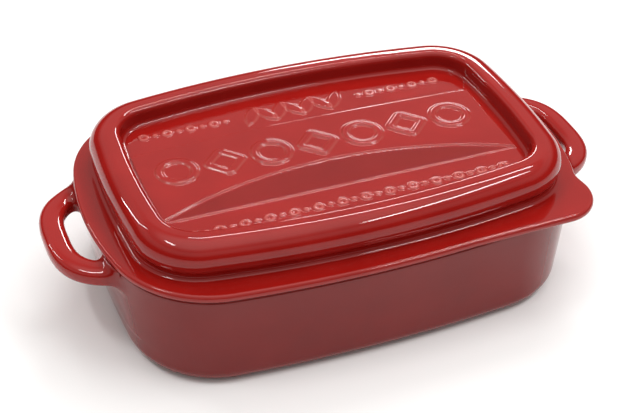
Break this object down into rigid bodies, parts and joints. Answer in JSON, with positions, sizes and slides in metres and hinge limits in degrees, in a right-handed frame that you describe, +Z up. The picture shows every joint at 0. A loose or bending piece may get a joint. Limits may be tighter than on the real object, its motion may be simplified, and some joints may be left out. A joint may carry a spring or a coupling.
{
  "type": "covered casserole dish",
  "caption": "Deep oblong glazed stoneware baking dish with a loop handle at each end and a lift-off lid with a rolled rim, corner lift tab and raised pattern.",
  "frame": {"origin": "centre of the flat base", "axes": "+Z up, +X along the length through both handles, -Y towards the long side with the lid's lift tab"},
  "size_m": [0.2904, 0.1658, 0.0765],
  "materials": {
    "glazed_dish": "deep red glossy glaze",
    "glazed_lid": "deep red glossy glaze"
  },
  "bodies": {
    "dish": {"dish": "glazed_dish", "left_handle": "glazed_dish", "right_handle": "glazed_dish"},
    "lid": {"lid": "glazed_lid"}
  },
  "joints": [
    {"name": "lid_lift", "type": "slide", "parent": "dish", "child": "lid", "axis": [0, 0, 1], "range_m": [0, 0.12]}
  ]
}
